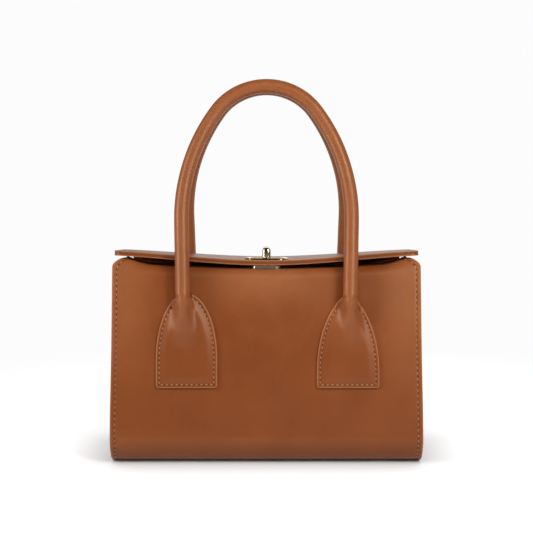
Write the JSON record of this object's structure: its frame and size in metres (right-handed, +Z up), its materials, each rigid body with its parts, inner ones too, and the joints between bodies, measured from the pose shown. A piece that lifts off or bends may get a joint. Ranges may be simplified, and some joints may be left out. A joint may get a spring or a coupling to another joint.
{
  "type": "top handle bag",
  "caption": "Structured leather top handle bag with rolled handles on sewn tabs, and a hinged sagging lid held by a turn lock.",
  "frame": {"origin": "middle of the base, on the surface that the bag stands on", "axes": "+X along the width to the right seen from the front, -Y out of the front face with the lock, +Z up"},
  "size_m": [0.25, 0.1178, 0.3114],
  "materials": {
    "cognac_leather": "smooth semi-gloss, fine grain",
    "cognac_leather_dark": "smooth semi-gloss, fine grain",
    "lining_cloth": "matt woven cotton",
    "fibre_board": "matt fibreboard",
    "handle_core": "matt cotton rope",
    "pale_gold": "polished pale gold plate"
  },
  "bodies": {
    "body": {"front_panel": "cognac_leather", "rear_panel": "cognac_leather", "left_gusset": "cognac_leather", "right_gusset": "cognac_leather", "base_panel": "cognac_leather_dark", "front_board": "fibre_board", "rear_board": "fibre_board", "base_board": "fibre_board", "front_rail_board": "fibre_board", "front_lining": "lining_cloth", "rear_lining": "lining_cloth", "left_lining": "lining_cloth", "right_lining": "lining_cloth", "base_lining": "lining_cloth", "slip_pocket": "lining_cloth", "hinge_strip": "cognac_leather_dark", "lock_base": "pale_gold", "lock_backing_plate": "pale_gold", "front_left_tab": "cognac_leather", "front_right_tab": "cognac_leather", "rear_left_tab": "cognac_leather", "rear_right_tab": "cognac_leather"},
    "lid": {"lid_leather": "cognac_leather", "lid_board": "fibre_board", "lid_lining": "lining_cloth", "escutcheon": "pale_gold", "escutcheon_back_plate": "pale_gold", "escutcheon_rivets": "pale_gold"},
    "turn_knob": {"turn_toggle": "pale_gold", "retaining_washer": "pale_gold"},
    "front_handle": {"front_handle_sleeve": "cognac_leather", "front_handle_core": "handle_core"},
    "rear_handle": {"rear_handle_sleeve": "cognac_leather", "rear_handle_core": "handle_core"}
  },
  "joints": [
    {"name": "lid_hinge", "type": "hinge", "parent": "body", "child": "lid", "pos_m": [0, 0.03573, 0.1594], "axis": [-1, 0, 0], "range_deg": [0, 74]},
    {"name": "knob_turn", "type": "hinge", "parent": "body", "child": "turn_knob", "pos_m": [0, -0.02473, 0.1586], "axis": [0, 0, 1], "range_deg": [0, 90]},
    {"name": "front_handle_fold", "type": "hinge", "parent": "body", "child": "front_handle", "pos_m": [0, -0.05299, 0.1356], "axis": [1, 0, 0], "range_deg": [0, 80]},
    {"name": "rear_handle_fold", "type": "hinge", "parent": "body", "child": "rear_handle", "pos_m": [0, 0.05299, 0.1356], "axis": [-1, 0, 0], "range_deg": [0, 80]}
  ]
}
